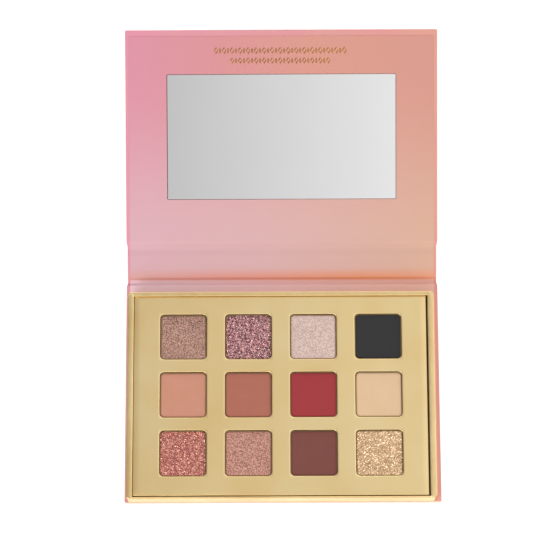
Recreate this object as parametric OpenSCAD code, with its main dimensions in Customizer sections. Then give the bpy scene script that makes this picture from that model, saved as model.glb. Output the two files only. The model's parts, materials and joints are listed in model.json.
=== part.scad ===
// Book-style eyeshadow palette, millimetres.
// A flat base with a gold tray of pressed powders, a spine and a mirror lid.
// X runs left to right, Y from the front edge to the hinge, Z up.
// The origin is the centre of the underside of the base.

/* [Shades] */
// Columns of pans, left to right
cols = 4; // [2:1:6]
// Rows of pans, back to front
rows = 3; // [2:1:5]
// Side of one square tin pan
pan_side = 22.7; // [16:0.1:34]
// Height of a pan
pan_h = 4; // [3:0.1:8]
// Corner radius of a pan
pan_r = 2; // [1:0.1:4]
// Sheet thickness of a pan
pan_t = 0.25; // [0.15:0.05:0.5]
// Play between a pan and its window, each side
pan_play = 0.2; // [0.1:0.05:0.5]
// How far the pressed powder lies below the rim of its pan
powder_drop = 0.15; // [0.05:0.05:0.8]

/* [Tray] */
// Web between two windows, left to right
web_x = 9.1; // [4:0.1:20]
// Web between two windows, front to back
web_y = 6.4; // [3:0.1:20]
// Border between the tray wall and the outer windows, at the sides
margin_x = 13.1; // [7:0.1:30]
// Border in front of and behind the outer windows, up to a wall as thick as at the sides
margin_y = 8.2; // [7:0.1:30]
// Thickness of the tray's side walls with their foil paper
wall = 3.1; // [2:0.1:5]
// Thickness of the tray's front wall with its foil paper
front_wall = 1.2; // [1:0.1:5]
// Thickness of the tray's rear wall with its foil paper
rear_wall = 2.2; // [1:0.1:5]
// Thickness of the tray floor
floor_t = 1.5; // [1:0.1:3]
// Thickness of the card that the pans are glued to
bed_t = 1.5; // [1:0.1:4]
// Thickness of the die-cut platform
platform_t = 1.5; // [1.3:0.1:2.4]
// Depth of the platform below the rim of the tray
recess = 1.2; // [0.4:0.1:3]
// Depth of a pan's rim below the top of the platform
pan_drop = 0.75; // [0.3:0.05:1.5]
// Gap between the platform and the tray wall
platform_gap = 0.5; // [0.2:0.05:1.2]
// Play between the inner cards and the tray wall
card_play = 0.3; // [0.1:0.05:0.6]
// Sideways offset of the tray as it is glued to the base
tray_shift = -0.8; // [-1.2:0.1:1.2]

/* [Case] */
// Base showing beside the tray, each side
side_edge = 1.9; // [1.4:0.1:8]
// Base showing in front of the tray
front_edge = 0.3; // [0.1:0.1:6]
// Base showing behind the tray
rear_edge = 5.9; // [3:0.1:14]
// Greyboard in the base and the spine
board_t = 1.8; // [1.2:0.1:3]
// Greyboard in the lid
lid_board_t = 1.8; // [1.4:0.1:3]
// Card around the mirror
mirror_card_t = 1; // [0.8:0.1:2]
// Corner radius of the covers
corner_r = 1.2; // [0.8:0.1:4]
// How far the lid stops short of the front edge when it is closed
lid_short = 1.8; // [0:0.1:5]
// Width of the soft fold between the spine and the lid
lid_gap = 5.9; // [4:0.1:10]
// Width of the soft fold between the spine board and the lid axis
spine_end = 1.5; // [0.8:0.1:3]
// How much narrower the spine is than the covers, each side
waist = 0.5; // [0.3:0.1:3]
// Angle of the spine and the lid above the table
open_angle = 19.5; // [0:0.5:60]

/* [Papers] */
// Outer wrapping paper
wrap_t = 0.2; // [0.15:0.05:0.4]
// Printed inner lining
liner_t = 0.2; // [0.15:0.05:0.4]
// Gold foil paper
foil_t = 0.15; // [0.1:0.05:0.3]
// Width of wrapping paper turned in over the edges
turn_in = 12; // [6:0.5:18]
// Inset of the lining from the side edges
liner_side = 1.7; // [1:0.1:6]
// Inset of the lining from the free edge of a cover
liner_end = 3.2; // [1:0.1:8]

/* [Mirror and magnets] */
// Width of the mirror
mirror_w = 114.3; // [60:0.1:138]
// Height of the mirror
mirror_l = 62.3; // [30:0.1:78]
// Distance from the free edge of the lid to the mirror
mirror_end = 22.2; // [16:0.1:32]
// Thickness of the mirror
mirror_t = 1.1; // [0.8:0.05:1.2]
// Corner radius of the mirror
mirror_r = 0.6; // [0.3:0.1:5]
// Play around the mirror, each side
mirror_play = 0.15; // [0.1:0.05:0.5]
// Adhesive tape under the mirror
tape_t = 0.15; // [0.1:0.05:0.2]
// Diameter of the magnets and of their steel keepers
magnet_d = 5; // [3:0.1:6]
// Thickness of the magnets and of their keepers
magnet_t = 1; // [0.6:0.1:1.1]
// Play around the magnets and their keepers
magnet_play = 0.1; // [0.05:0.05:0.3]

/* [Hidden] */
$fn = 48;
eps = 0.01;
// play at the folds, so that the papers on each side never touch
fold_play = 0.3;
// air between the closed lid and the rim of the tray
close_gap = 0.15;
glue_t = 0.1;
glue_d = 12;
stay_t = 0.1;
stay_leg = 9;
under_turn = 10;

// windows, tray and base
window = pan_side + 2 * pan_play;
window_r = pan_r + pan_play;
pitch_x = window + web_x;
pitch_y = window + web_y;
inner_w = cols * window + (cols - 1) * web_x + 2 * margin_x;
tray_w = inner_w + 2 * wall;
tray_l = rows * window + (rows - 1) * web_y + 2 * margin_y + 2 * wall;
inner_l = tray_l - front_wall - rear_wall;
case_w = tray_w + 2 * side_edge;
base_l = front_edge + tray_l + rear_edge;
tray_y = -base_l / 2 + front_edge;

// heights
base_stack = wrap_t + board_t + wrap_t + liner_t;
lid_core = lid_board_t + mirror_card_t;
lid_stack = wrap_t + lid_core + wrap_t + liner_t;
tray_h = foil_t + floor_t + bed_t + glue_t + pan_h + pan_drop + recess;
floor_top = base_stack + foil_t + floor_t;
bed_top = floor_top + bed_t;
pan_z = bed_top + glue_t;
tray_top = base_stack + tray_h;
platform_top = tray_top - recess;
platform_z = platform_top - foil_t - platform_t;

// folds: the axes lie where the wrapping and the lining meet
base_gap = base_stack - wrap_t + close_gap;
axis_y = base_l / 2 + base_gap;
axis_z = wrap_t;
spine_l = base_stack + tray_h + close_gap + lid_stack - 2 * wrap_t;
spine_w = case_w - 2 * waist;
spine_board_l = spine_l - base_gap - spine_end;
liner_w = case_w - 2 * liner_side;
lid_l = base_l + base_gap - lid_gap - lid_short;

// magnets in the lid meet keepers in the front border of the platform
keeper_y = tray_y + wall + margin_y / 2;
magnet_s = axis_y - keeper_y;
magnet_xs = [tray_shift - pitch_x * (cols - 2) / 2, tray_shift + pitch_x * (cols - 2) / 2];

row_names = ["a", "b", "c", "d", "e"];
shades = [
    "#b28e80", "#a37a86", "#d9bdb6", "#3b393a",
    "#d29382", "#b0705f", "#a33a40", "#e5c6a1",
    "#bd7068", "#c4867b", "#7f4e48", "#d8b689"
];
paper_pink = "#dc9aa6";
liner_pink = "#e2b4b4";
foil_gold = "#d9c18b";
board_grey = "#9a948c";

CASE_NODES = [
    "base_wrap", "base_board", "base_liner",
    "spine_wrap", "spine_board", "spine_liner",
    "lid_wrap", "lid_board", "mirror_card", "lid_liner",
    "mirror", "mirror_tape", "lid_magnets"
];
TRAY_NODES = [
    "tray_box", "tray_corner_stays", "tray_foil", "tray_tape", "pan_bed",
    "well_grid", "platform_board", "platform_foil", "steel_keepers", "pan_glue"
];
function spot(r, c) = str(row_names[r], c + 1);
PAN_NODES = [for (r = [0:rows - 1], c = [0:cols - 1]) str("pan_", spot(r, c))];
POWDER_NODES = [for (r = [0:rows - 1], c = [0:cols - 1]) str("powder_", spot(r, c))];

// ---- shapes used by more than one piece ----

// rounded rectangle, centred on X, from y = 0 to y = l
module rounded(w, l, r) {
    translate([-w / 2 + r, 0]) square([w - 2 * r, l]);
    translate([-w / 2, r]) square([w, l - 2 * r]);
    for (x = [-w / 2 + r, w / 2 - r], y = [r, l - r])
        translate([x, y]) circle(r);
}

module plate(w, l, r, t) {
    linear_extrude(t) rounded(w, l, r);
}

// rectangular ring: an outline with an inner outline inset by d
module ring(w, l, r, d, t) {
    linear_extrude(t) difference() {
        rounded(w, l, r);
        translate([0, d]) rounded(w - 2 * d, l - 2 * d, max(r - d, 0.2));
    }
}

// strip centred on X
module strip(w, y0, y1, z0, t) {
    translate([-w / 2, y0, z0]) cube([w, y1 - y0, t]);
}

// ---- a cover: the fold axis is at y = 0, the free edge at y = gap + l ----

module cover_board(gap, l, t) {
    translate([0, gap + liner_t, 0])
        plate(case_w - 2 * wrap_t, l - liner_t - wrap_t, corner_r - wrap_t, t);
}

// outer paper: skin, three edges and the turned-in border
module cover_wrap(gap, l, core) {
    strip(case_w - 2 * waist, fold_play, gap + corner_r, -wrap_t, wrap_t);
    difference() {
        translate([0, gap, -wrap_t]) plate(case_w, l, corner_r, core + 2 * wrap_t);
        translate([0, gap - corner_r, 0])
            plate(case_w - 2 * wrap_t, l + corner_r - wrap_t, corner_r - wrap_t, core);
        translate([0, gap - corner_r, core - eps])
            plate(case_w - 2 * turn_in, l + corner_r - turn_in, corner_r, wrap_t + 2 * eps);
        strip(liner_w, gap - eps, gap + liner_t, 0, core + 2 * wrap_t);
    }
}

// inner paper: lies on the board and the border, and runs down into the fold
module cover_liner(gap, l, core, end) {
    translate([0, gap + liner_t / 2, core])
        plate(case_w - 2 * turn_in, l - liner_t / 2 - turn_in, corner_r, wrap_t);
    translate([0, gap, core + wrap_t])
        plate(liner_w, l - end, corner_r / 2, liner_t);
    strip(liner_w - corner_r, gap, gap + liner_t, 0, core + 2 * wrap_t);
    strip(liner_w, fold_play, gap + liner_t, 0, liner_t);
}

module mirror_window(play, z0, t) {
    translate([0, lid_gap + lid_l - mirror_end - mirror_l - play, z0])
        plate(mirror_w + 2 * play, mirror_l + 2 * play, mirror_r + play, t);
}

// ---- places ----

module at_base() {
    translate([0, axis_y, axis_z]) mirror([0, 1, 0]) children();
}

module at_spine() {
    translate([0, axis_y, axis_z]) rotate([open_angle, 0, 0]) children();
}

module at_lid() {
    at_spine() translate([0, spine_l, 0]) children();
}

module at_tray(z) {
    translate([tray_shift, tray_y, z]) children();
}

// centre of one window, in the tray's own frame
function window_x(c) = (c - (cols - 1) / 2) * pitch_x;
function window_y(r) = wall + margin_y + window / 2 + (rows - 1 - r) * pitch_y;

module each_window() {
    for (r = [0:rows - 1], c = [0:cols - 1])
        translate([window_x(c), window_y(r)]) children();
}

// ---- case ----

module base_wrap() {
    color(paper_pink) at_base() cover_wrap(base_gap, base_l, board_t);
}

module base_board() {
    color(board_grey) at_base() cover_board(base_gap, base_l, board_t);
}

module base_liner() {
    color(liner_pink) at_base() cover_liner(base_gap, base_l, board_t, liner_end);
}

module spine_board() {
    color(board_grey) at_spine() translate([0, base_gap, 0])
        strip(spine_w - 2 * wrap_t, liner_t, spine_board_l - liner_t, 0, board_t);
}

module spine_wrap() {
    color(paper_pink) at_spine() {
        strip(spine_w, fold_play, spine_l - fold_play, -wrap_t, wrap_t);
        for (side = [0, 1]) mirror([side, 0, 0]) {
            translate([spine_w / 2 - wrap_t, base_gap + liner_t, -wrap_t])
                cube([wrap_t, spine_board_l - 2 * liner_t, board_t + 2 * wrap_t]);
            translate([spine_w / 2 - turn_in, base_gap + liner_t, board_t])
                cube([turn_in, spine_board_l - 2 * liner_t, wrap_t]);
        }
    }
}

module spine_liner() {
    color(liner_pink) at_spine() {
        strip(spine_w - 2 * turn_in, base_gap, base_gap + spine_board_l, board_t, wrap_t);
        strip(liner_w, base_gap, base_gap + spine_board_l, board_t + wrap_t, liner_t);
        strip(liner_w, fold_play, base_gap + liner_t, 0, liner_t);
        strip(liner_w, base_gap, base_gap + liner_t, 0, board_t + wrap_t + liner_t);
        strip(liner_w, base_gap + spine_board_l - liner_t, spine_l - fold_play, 0, liner_t);
        strip(liner_w, base_gap + spine_board_l - liner_t, base_gap + spine_board_l,
            0, board_t + wrap_t + liner_t);
    }
}

module lid_wrap() {
    color(paper_pink) at_lid() difference() {
        cover_wrap(lid_gap, lid_l, lid_core);
        mirror_window(mirror_play, lid_core - eps, wrap_t + 2 * eps);
    }
}

module lid_board() {
    pocket = magnet_t + magnet_play;
    color(board_grey) at_lid() difference() {
        cover_board(lid_gap, lid_l, lid_board_t);
        for (x = magnet_xs) translate([x, magnet_s, lid_board_t - pocket])
            cylinder(h = pocket + eps, d = magnet_d + 2 * magnet_play);
    }
}

module mirror_card() {
    color(board_grey) at_lid() difference() {
        translate([0, 0, lid_board_t]) cover_board(lid_gap, lid_l, mirror_card_t);
        mirror_window(mirror_play, lid_board_t - eps, mirror_card_t + 2 * eps);
    }
}

module lid_liner() {
    color(liner_pink) at_lid() difference() {
        cover_liner(lid_gap, lid_l, lid_core, liner_end);
        mirror_window(mirror_play, lid_core - eps, wrap_t + liner_t + 2 * eps);
    }
}

module mirror_tape() {
    color("white") at_lid() mirror_window(-mirror_r, lid_board_t, tape_t);
}

module mirror_glass() {
    color("#c9ccce") at_lid() mirror_window(0, lid_board_t + tape_t, mirror_t);
}

module lid_magnets() {
    color("#8d9094") at_lid() for (x = magnet_xs)
        translate([x, magnet_s, lid_board_t - magnet_t]) cylinder(h = magnet_t, d = magnet_d);
}

// ---- tray ----

// strips of kraft tape round the four corners of the greyboard box
module corner_stays() {
    box_w = tray_w - 2 * foil_t;
    box_l = tray_l - 2 * foil_t;
    intersection() {
        translate([0, foil_t, base_stack + foil_t])
            ring(box_w, box_l, corner_r - foil_t, stay_t, tray_h - 2 * foil_t);
        for (x = [-tray_w / 2, tray_w / 2 - stay_leg], y = [0, tray_l - stay_leg])
            translate([x, y, 0]) cube([stay_leg, stay_leg, tray_top]);
    }
}

module tray_corner_stays() {
    color("#b98f5e") at_tray(0) corner_stays();
}

// greyboard box: a floor with four walls
module tray_box() {
    box_w = tray_w - 2 * foil_t;
    box_l = tray_l - 2 * foil_t;
    color(board_grey) at_tray(0) difference() {
        translate([0, foil_t, base_stack + foil_t])
            plate(box_w, box_l, corner_r - foil_t, tray_h - 2 * foil_t);
        translate([0, front_wall - foil_t, floor_top])
            plate(inner_w + 2 * foil_t, inner_l + 2 * foil_t, foil_t + card_play, tray_h);
        corner_stays();
    }
}

// gold paper: outer faces, rim, inner faces and the border turned under
module tray_foil() {
    color(foil_gold) at_tray(base_stack) {
        ring(tray_w, tray_l, corner_r, foil_t, tray_h);
        ring(tray_w, tray_l, corner_r, under_turn, foil_t);
        translate([0, 0, tray_h - foil_t]) linear_extrude(foil_t) difference() {
            rounded(tray_w, tray_l, corner_r);
            translate([0, front_wall]) rounded(inner_w, inner_l, card_play);
        }
        translate([0, front_wall - foil_t, floor_top - base_stack])
            ring(inner_w + 2 * foil_t, inner_l + 2 * foil_t, foil_t + card_play, foil_t,
                tray_h - floor_top + base_stack);
    }
}

// double-sided tape inside the turned-under border
module tray_tape() {
    inset = under_turn + card_play;
    color("white") at_tray(base_stack) translate([0, inset])
        plate(tray_w - 2 * inset, tray_l - 2 * inset, card_play, foil_t);
}

// outline of the inner cards
module card_outline(gap) {
    translate([0, front_wall + gap]) rounded(inner_w - 2 * gap, inner_l - 2 * gap, card_play);
}

module pan_bed() {
    color(board_grey) at_tray(floor_top) linear_extrude(bed_t) card_outline(card_play);
}

module well_grid() {
    color("#8e8981") at_tray(bed_top) linear_extrude(platform_z - bed_top) difference() {
        card_outline(card_play);
        each_window() translate([0, -window / 2 - pan_play])
            rounded(window + 2 * pan_play, window + 2 * pan_play, window_r);
    }
}

module platform_face(inset) {
    difference() {
        card_outline(platform_gap + inset);
        each_window() translate([0, -window / 2]) rounded(window, window, window_r);
    }
}

module keepers(play) {
    for (x = magnet_xs) translate([x, keeper_y, platform_z - play])
        cylinder(h = magnet_t + 2 * play, d = magnet_d + 2 * play);
}

module platform_board() {
    color(board_grey) difference() {
        at_tray(platform_z) linear_extrude(platform_t) platform_face(foil_t);
        keepers(magnet_play);
    }
}

// gold paper over the platform, turned down at its outer edge
module platform_foil() {
    color(foil_gold) at_tray(platform_z) {
        translate([0, 0, platform_t]) linear_extrude(foil_t) platform_face(0);
        translate([0, front_wall + platform_gap]) ring(inner_w - 2 * platform_gap,
            inner_l - 2 * platform_gap, card_play, foil_t, platform_t + foil_t);
    }
}

module steel_keepers() {
    color("silver") keepers(0);
}

module pan_glue() {
    color("#e8e4d8") at_tray(bed_top) each_window() cylinder(h = glue_t, d = glue_d);
}

// ---- pans and powders ----

module at_window(r, c) {
    at_tray(pan_z) translate([window_x(c), window_y(r)]) children();
}

module pan(r, c) {
    color("silver") at_window(r, c) difference() {
        translate([0, -pan_side / 2]) plate(pan_side, pan_side, pan_r, pan_h);
        translate([0, -pan_side / 2 + pan_t, pan_t])
            plate(pan_side - 2 * pan_t, pan_side - 2 * pan_t, pan_r - pan_t, pan_h);
    }
}

// pressed powder with a small step round its top edge
module powder(r, c) {
    side = pan_side - 2 * pan_t;
    edge = 0.3;
    full = pan_h - pan_t - powder_drop;
    color(shades[(r * cols + c) % len(shades)]) at_window(r, c) {
        translate([0, -side / 2, pan_t]) plate(side, side, pan_r - pan_t, full - edge);
        translate([0, -side / 2 + edge, pan_t])
            plate(side - 2 * edge, side - 2 * edge, pan_r - pan_t - edge, full);
    }
}

base_wrap();
base_board();
base_liner();
spine_wrap();
spine_board();
spine_liner();
lid_wrap();
lid_board();
mirror_card();
lid_liner();
mirror_glass();  // mirror
mirror_tape();
lid_magnets();
tray_box();
tray_corner_stays();
tray_foil();
tray_tape();
pan_bed();
well_grid();
platform_board();
platform_foil();
steel_keepers();
pan_glue();
for (r = [0:rows - 1], c = [0:cols - 1]) {
    pan(r, c);
    powder(r, c);
}
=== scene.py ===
import json
from math import asin, atan2, cos, pi, radians, sin, sqrt

import bmesh
import bpy
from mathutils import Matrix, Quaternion, Vector, noise


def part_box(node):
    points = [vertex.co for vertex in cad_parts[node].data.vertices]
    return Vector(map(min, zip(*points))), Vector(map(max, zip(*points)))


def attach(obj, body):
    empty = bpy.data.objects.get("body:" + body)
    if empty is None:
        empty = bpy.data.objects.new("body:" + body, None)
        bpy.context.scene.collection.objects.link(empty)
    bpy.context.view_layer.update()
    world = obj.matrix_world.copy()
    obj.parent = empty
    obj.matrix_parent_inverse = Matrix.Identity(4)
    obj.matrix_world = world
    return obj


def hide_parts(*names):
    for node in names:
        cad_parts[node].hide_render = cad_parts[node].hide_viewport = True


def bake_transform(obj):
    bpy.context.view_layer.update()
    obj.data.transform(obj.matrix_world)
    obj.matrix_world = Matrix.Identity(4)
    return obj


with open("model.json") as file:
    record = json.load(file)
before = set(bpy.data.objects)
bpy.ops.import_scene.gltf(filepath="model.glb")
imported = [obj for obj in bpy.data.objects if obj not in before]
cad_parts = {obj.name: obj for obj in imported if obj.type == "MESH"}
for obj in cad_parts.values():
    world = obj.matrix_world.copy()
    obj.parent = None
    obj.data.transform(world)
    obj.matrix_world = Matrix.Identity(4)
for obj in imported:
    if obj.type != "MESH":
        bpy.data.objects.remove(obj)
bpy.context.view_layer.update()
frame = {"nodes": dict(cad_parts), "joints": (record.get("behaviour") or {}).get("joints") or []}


# ---- stiffeners of the case ----
# The base, the spine and the lid are each a panel of grey recycled board, cut on a
# guillotine. A thinner card of the same board on the lid leaves a bay for the mirror.

mm = 0.001


def colour(code):
    """a colour given as six hex digits, as the numbers that a shader takes"""
    parts = [int(code[i:i + 2], 16) / 255 for i in (0, 2, 4)]
    return [c / 12.92 if c < 0.04045 else ((c + 0.055) / 1.055) ** 2.4 for c in parts] + [1]


def new_finish(name, roughness, metallic=0.0):
    """an empty finish and its surface shader"""
    finish = bpy.data.materials.new(name)
    finish.use_nodes = True
    surface = finish.node_tree.nodes["Principled BSDF"]
    surface.inputs["Roughness"].default_value = roughness
    surface.inputs["Metallic"].default_value = metallic
    return finish, surface


def node(tree, kind, inputs=None, **settings):
    """a node in a tree; each input is a number, a colour or another node's output"""
    made = tree.nodes.new(kind)
    for key, value in settings.items():
        setattr(made, key, value)
    for key, value in (inputs or {}).items():
        if isinstance(value, bpy.types.NodeSocket):
            tree.links.new(value, made.inputs[key])
        else:
            made.inputs[key].default_value = value
    return made


def own_place(finish, stretch=(1, 1, 1)):
    """where a point lies on its own piece, stretched along each axis"""
    tree = finish.node_tree
    place = node(tree, "ShaderNodeTexCoord").outputs["Object"]
    return node(tree, "ShaderNodeMapping", {"Vector": place, "Scale": stretch}).outputs[0]


def speckle(finish, place, size, detail=3.0):
    """soft random grain whose blotches are about size metres across"""
    inputs = {"Vector": place, "Scale": 1 / size, "Detail": detail}
    return node(finish.node_tree, "ShaderNodeTexNoise", inputs).outputs[0]


def ramp(finish, factor, *stops):
    """a colour for each value; a stop is (value, hex colour)"""
    made = node(finish.node_tree, "ShaderNodeValToRGB", {0: factor})
    elements = made.color_ramp.elements
    while len(elements) < len(stops):
        elements.new(0.5)
    for element, (position, code) in zip(elements, stops):
        element.position = position
        element.color = colour(code)
    return made.outputs[0]


def mixed(finish, factor, first, second, blend="MIX"):
    inputs = {0: factor, 6: first, 7: second}
    return node(finish.node_tree, "ShaderNodeMix", inputs, data_type="RGBA",
                blend_type=blend).outputs[2]


def relief(finish, surface, height, depth):
    """fine surface relief, depth metres from its lowest to its highest point"""
    bump = node(finish.node_tree, "ShaderNodeBump", {"Height": height, "Distance": depth})
    finish.node_tree.links.new(bump.outputs[0], surface.inputs["Normal"])


def paint(finish, surface, output):
    finish.node_tree.links.new(output, surface.inputs["Base Color"])


def grained(name, roughness, metallic, stretch, size, detail, stops, depth):
    """a finish whose one grain gives both its colour and its relief"""
    finish, surface = new_finish(name, roughness, metallic)
    grain = speckle(finish, own_place(finish, stretch), size, detail)
    paint(finish, surface, ramp(finish, grain, *stops))
    relief(finish, surface, grain, depth)
    return finish, surface


def greyboard_finish(name, dark, light):
    """pulped waste paper: matted fibres with dark and pale flecks"""
    finish, surface = new_finish(name, 0.92)
    fibres = speckle(finish, own_place(finish, (1, 4, 4)), 0.9 * mm, 6)
    flecks = speckle(finish, own_place(finish), 0.35 * mm, 1)
    body = ramp(finish, fibres, (0.3, dark), (0.7, light))
    specks = ramp(finish, flecks, (0.27, "4c4842"), (0.33, "ffffff"))
    paint(finish, surface, mixed(finish, 0.7, body, specks, "MULTIPLY"))
    relief(finish, surface, fibres, 0.06 * mm)
    return finish


def give_finish(finish, *names):
    for name in names:
        for slot in frame["nodes"][name].material_slots:
            slot.material = finish


greyboard = greyboard_finish("greyboard", "857f77", "a49e95")
give_finish(greyboard, "base_board", "spine_board", "lid_board", "mirror_card")


# ---- outer wrapping paper ----
# One sheet of soft printed paper is glued over the boards and turned in over every
# edge. It is made here in two lengths that meet on the spine, one for each fold.

folds = {joint["name"]: Vector(joint["pos_m"]) for joint in frame["joints"]}
spine_axis, lid_axis = folds["spine_fold"], folds["lid_fold"]
spine_run = (lid_axis - spine_axis).length
open_angle = atan2(lid_axis.z - spine_axis.z, lid_axis.y - spine_axis.y)


def flat_box(name, axis, turn):
    """lowest and highest corner of a CAD node: across, along and up from a fold"""
    corners = []
    for vertex in frame["nodes"][name].data.vertices:
        y, z = vertex.co.y - axis.y, vertex.co.z - axis.z
        corners.append((vertex.co.x, y * cos(turn) + z * sin(turn), z * cos(turn) - y * sin(turn)))
    return Vector(map(min, zip(*corners))), Vector(map(max, zip(*corners)))


def laid(x, s, n, axis, turn):
    """a point s along a sheet and n above it, where the sheet leaves its fold at a turn"""
    return Vector((x, axis.y + s * cos(turn) - n * sin(turn),
                   axis.z + s * sin(turn) + n * cos(turn)))


def ease(t):
    t = min(max(t, 0.0), 1.0)
    return t * t * (3 - 2 * t)


# how far the papers bend on each side of the two folds
base_bend = (0, 2.6 * mm)
lid_bend = (-1.4 * mm, 2.6 * mm)


def on_base(x, s, n):
    """s is measured up the spine from the fold at the base; the base lies behind it"""
    start, end = base_bend
    return laid(x, s, n, spine_axis, open_angle * ease((s - start) / (end - start)))


def on_lid(x, s, n):
    """s is measured from the fold at the lid, towards the lid's free edge"""
    return laid(x, s, n, lid_axis, open_angle)


def over_boards(s, floor, boards):
    """height of a paper that lies on boards and sinks into the grooves between them;
    a board is (its two ends, the height on it, the run of the slope off each end)"""
    height = floor
    for start, end, top, run_in, run_out in boards:
        share = min((s - start) / run_in + 1, (end - s) / run_out + 1)
        height = max(height, floor + (top - floor) * ease(share))
    return height


class Sheet:
    """faces given by flat points, across, along and up, and then bent into place"""

    def __init__(self, place, travelled=0.0):
        self.place = place
        self.travelled = travelled
        self.corners = {}
        self.faces = []

    def corner(self, point):
        key = tuple(round(value * 1e7) for value in point)
        return self.corners.setdefault(key, (len(self.corners), point))[0]

    def quad(self, *points):
        face = list(dict.fromkeys(self.corner(point) for point in points))
        if len(face) > 2:
            self.faces.append(face)

    def bridge(self, first, second, closed=False):
        count = len(first)
        for i in range(count if closed else count - 1):
            j = (i + 1) % count
            self.quad(first[i], first[j], second[j], second[i])

    def piece(self, name, finish, upward, thick=0.0, smooth_to=40):
        """the finished sheet; upward says which way its printed side faces"""
        flat = [point for _, point in self.corners.values()]
        mesh = bpy.data.meshes.new(name)
        mesh.from_pydata([self.place(*point) for point in flat], [], self.faces)
        pattern = mesh.attributes.new("pattern", "FLOAT_VECTOR", "POINT")
        for i, (x, s, n) in enumerate(flat):
            pattern.data[i].vector = (x, s + self.travelled, n)
        edit = bmesh.new()
        edit.from_mesh(mesh)
        bmesh.ops.recalc_face_normals(edit, faces=edit.faces)
        if upward and sum(f.normal.dot(upward) * f.calc_area() for f in edit.faces) < 0:
            bmesh.ops.reverse_faces(edit, faces=edit.faces)
        edit.to_mesh(mesh)
        edit.free()
        made = bpy.data.objects.new(name, mesh)
        bpy.context.scene.collection.objects.link(made)
        if thick:
            body = made.modifiers.new("thickness", "SOLIDIFY")
            body.thickness = thick
            body.offset = -1
            body.use_even_offset = True
        return finished(made, finish, smooth_to)


def finished(made, finish, smooth_to=40):
    """a piece with its modifiers applied, its finish on and its hard edges kept hard"""
    graph = bpy.context.evaluated_depsgraph_get()
    mesh = bpy.data.meshes.new_from_object(made.evaluated_get(graph))
    made.modifiers.clear()
    made.data = mesh
    mesh.name = made.name
    mesh.shade_smooth()
    mesh.set_sharp_from_angle(angle=radians(smooth_to))
    if finish:
        mesh.materials.clear()
        mesh.materials.append(finish)
    return made


def steps(start, end, count):
    return [start + (end - start) * i / count for i in range(count + 1)]


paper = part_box("base_board")[0].z
edge_r = 0.45 * mm
turn_in = 12 * mm
doubled = 0.25 * mm
base_board = flat_box("base_board", spine_axis, 0)
spine_board = flat_box("spine_board", spine_axis, open_angle)
lid_card = flat_box("mirror_card", lid_axis, open_angle)
spine_mid = (spine_board[0].y + spine_board[1].y) / 2
case_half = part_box("base_wrap")[1].x
spine_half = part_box("spine_wrap")[1].x


def half_width(s, narrow_from, narrow_to):
    """half the width of the cover, which narrows from a board into the soft fold"""
    share = ease((s - narrow_to) / (narrow_from - narrow_to))
    return spine_half + (case_half - spine_half) * share


def wrap(place, travelled, corner_r, stations, free, half, border):
    """the paper round one cover: stations run along its side, free is its free edge"""
    sheet = Sheet(place, travelled)
    ahead = 1 if free > stations[0] else -1
    across = [t / 12 for t in range(-12, 13)]

    def ring(inset, height):
        """one line of the paper, up one side, round the free edge and back"""
        reach = max(inset(free), corner_r)
        round_r = corner_r - min(inset(free), corner_r)
        sides = []
        for side in (-1, 1):
            line = [(side * (half(s) - inset(s)), s, height(s)) for s in stations]
            for t in steps(0, 90, 6):
                x = half(free) - reach + round_r * cos(radians(t))
                s = free + ahead * (round_r * sin(radians(t)) - reach)
                line.append((side * x, s, height(free)))
            sides.append(line)
        left, right = sides
        front = [(t * (half(free) - reach), free - ahead * (reach - round_r), height(free))
                 for t in across[1:-1]]
        return left + front + right[::-1]

    def rounding(s):
        return min(edge_r, (border(s) + paper) / 2)

    rings = [ring(lambda s: turn_in, border)]
    for t in steps(0, 90, 5):
        rings.append(ring(lambda s: rounding(s) * (1 - sin(radians(t))),
                          lambda s: border(s) - rounding(s) * (1 - cos(radians(t)))))
    for t in steps(90, 0, 5):
        rings.append(ring(lambda s: rounding(s) * (1 - sin(radians(t))),
                          lambda s: rounding(s) * (1 - cos(radians(t))) - paper))
    rings.append(ring(lambda s: corner_r, lambda s: -paper))
    for first, second in zip(rings, rings[1:]):
        sheet.bridge(first, second)
    rows = [[(t * (half(s) - corner_r), s, -paper) for t in across] for s in stations]
    rows.append([(t * (half(free) - corner_r), free - ahead * corner_r, -paper) for t in across])
    for first, second in zip(rows, rows[1:]):
        sheet.bridge(first, second)
    return sheet


base_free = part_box("base_wrap")[0].y - spine_axis.y
lid_free = flat_box("lid_wrap", lid_axis, open_angle)[1].y
on_board = base_board[1].z + paper
on_card = lid_card[1].z + paper
spine_end = spine_board[1].y - spine_run
lid_valley = on_board - 0.14 * mm


def over_base(floor, lift):
    """height of a paper on the base and up the spine, by how far along it a point is"""
    return lambda s: over_boards(s, floor, [
        (base_free, base_board[1].y, on_board + lift, mm, 1.3 * mm),
        (spine_board[0].y, spine_run, on_board + lift, 3.6 * mm, mm)])


def over_lid(floor, lift):
    """the same from the spine to the lid's free edge"""
    return lambda s: over_boards(s, floor, [
        (-spine_run, spine_end, on_board + lift, mm, 3 * mm),
        (lid_card[0].y, lid_free, on_card + lift, 4.5 * mm, mm)])


base_stations = steps(spine_mid, 3 * mm, 4) + steps(2.7 * mm, -3 * mm, 19)
base_stations += [-5 * mm] + steps(-10 * mm, base_free + 20 * mm, 6)
lid_stations = steps(spine_mid - spine_run, -2 * mm, 4) + steps(-1.7 * mm, 7 * mm, 29)
lid_stations += [9 * mm] + steps(14 * mm, lid_free - 20 * mm, 6)

def maths(tree, operation, *values):
    """the result of one arithmetic step"""
    return node(tree, "ShaderNodeMath", dict(enumerate(values)), operation=operation).outputs[0]


def between(tree, value, start, end, low=0.0, high=1.0, kind="LINEAR"):
    """low before start, high after end and a slope between them"""
    return node(tree, "ShaderNodeMapRange", {"Value": value, "From Min": start, "From Max": end,
                                             "To Min": low, "To Max": high},
                interpolation_type=kind).outputs[0]


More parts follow.
